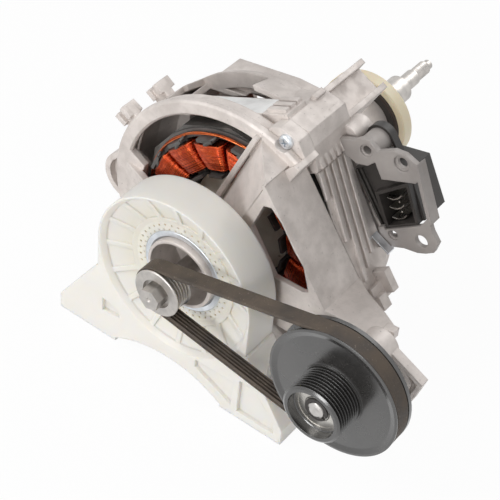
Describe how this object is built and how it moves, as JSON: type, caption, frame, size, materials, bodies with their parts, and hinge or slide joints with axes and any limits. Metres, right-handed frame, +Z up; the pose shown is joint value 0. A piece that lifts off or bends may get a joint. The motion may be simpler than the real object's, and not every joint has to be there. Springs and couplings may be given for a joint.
{
  "type": "dryer motor",
  "caption": "Dryer motor with die-cast bells, wound stator, white front foot, ribbed belt to a relay pulley on a side arm, and a long rear shaft for the fan.",
  "frame": {"origin": "middle of the foot's underside, under the shaft line and half way between the two foot holes", "axes": "+Y along the shaft from the belt side to the fan side, +X from the shaft to the relay pulley, +Z up"},
  "size_m": [0.2896, 0.3437, 0.1917],
  "materials": {
    "foot_plastic": "milky, slightly glossy",
    "zinc_steel": "bright zinc plated",
    "cast_aluminium": "die-cast, matt",
    "label_film": "silver-white film, bare",
    "black_steel": "black coated",
    "black_plastic": "matt, moulded",
    "glossy_black": "smooth, glossy",
    "board": "coated circuit board",
    "terminal_metal": "tinned",
    "lamination": "varnished steel sheets",
    "insulator": "dark moulded",
    "copper": "enamelled copper wire",
    "magnet": "coated",
    "disc_metal": "beige-grey, matt",
    "turned_steel": "turned",
    "bearing_steel": "ground",
    "cage": "moulded",
    "belt_rubber": "matt, dusty",
    "cream_plastic": "cream, satin",
    "brown_rubber": "matt"
  },
  "bodies": {
    "foot": {"front_foot": "foot_plastic", "foot_sleeve": "zinc_steel"},
    "motor": {"front_bell": "cast_aluminium", "rear_bell": "cast_aluminium", "clamp_screws": "zinc_steel", "name_label": "label_film", "side_bracket": "cast_aluminium", "boss_strap": "black_plastic", "electronics_housing": "black_plastic", "electronics_cover": "black_plastic", "control_board": "board", "blade_terminals": "terminal_metal", "terminal_pins": "terminal_metal", "spring_clip": "zinc_steel", "stator_core": "lamination", "front_insulator": "insulator", "rear_insulator": "insulator", "winding_cores": "copper", "tooth_windings": "copper", "lacing_wire": "copper", "outer_races": "bearing_steel", "bearing_shields": "bearing_steel", "relay_axle": "turned_steel", "relay_circlip": "black_steel", "relay_inner_race": "bearing_steel", "drive_belt": "belt_rubber"},
    "rotor": {"magnets": "magnet", "rotor_core": "lamination", "rotor_end_discs": "disc_metal", "rotor_shaft": "turned_steel", "motor_pulley": "turned_steel", "rear_collar": "turned_steel", "inner_races": "bearing_steel"},
    "relay": {"relay_pulley": "glossy_black", "relay_outer_race": "bearing_steel", "relay_shields": "bearing_steel"},
    "main_cages": {"bearing_balls": "bearing_steel", "bearing_cages": "cage"},
    "relay_cages": {"relay_balls": "bearing_steel", "relay_cage": "cage"},
    "rear_mount": {"mount_bush": "black_plastic", "rear_rubber_ring": "brown_rubber", "rear_ring": "cream_plastic"}
  },
  "joints": [
    {"name": "motor_swing", "type": "hinge", "parent": "foot", "child": "motor", "pos_m": [0, 0.003, 0.088], "axis": [0, 1, 0], "range_deg": [-6, 10]},
    {"name": "rotor_turn", "type": "hinge", "parent": "motor", "child": "rotor", "pos_m": [0, 0.077, 0.088], "axis": [0, 1, 0], "continuous": true},
    {"name": "relay_turn", "type": "hinge", "parent": "motor", "child": "relay", "pos_m": [0.134, -0.022, 0.0935], "axis": [0, 1, 0], "continuous": true},
    {"name": "main_cages_turn", "type": "hinge", "parent": "motor", "child": "main_cages", "pos_m": [0, 0.1125, 0.088], "axis": [0, 1, 0], "continuous": true},
    {"name": "relay_cages_turn", "type": "hinge", "parent": "motor", "child": "relay_cages", "pos_m": [0.134, -0.039, 0.0935], "axis": [0, 1, 0], "continuous": true},
    {"name": "rear_mount_swivel", "type": "hinge", "parent": "motor", "child": "rear_mount", "pos_m": [0, 0.208, 0.088], "axis": [0, 1, 0], "range_deg": [-10, 6]}
  ],
  "couplings": [
    {"joint": "relay_turn", "follows": "rotor_turn", "ratio": 0.3707},
    {"joint": "main_cages_turn", "follows": "rotor_turn", "ratio": 0.412},
    {"joint": "relay_cages_turn", "follows": "rotor_turn", "ratio": 0.2292},
    {"joint": "rear_mount_swivel", "follows": "motor_swing", "ratio": -1}
  ]
}
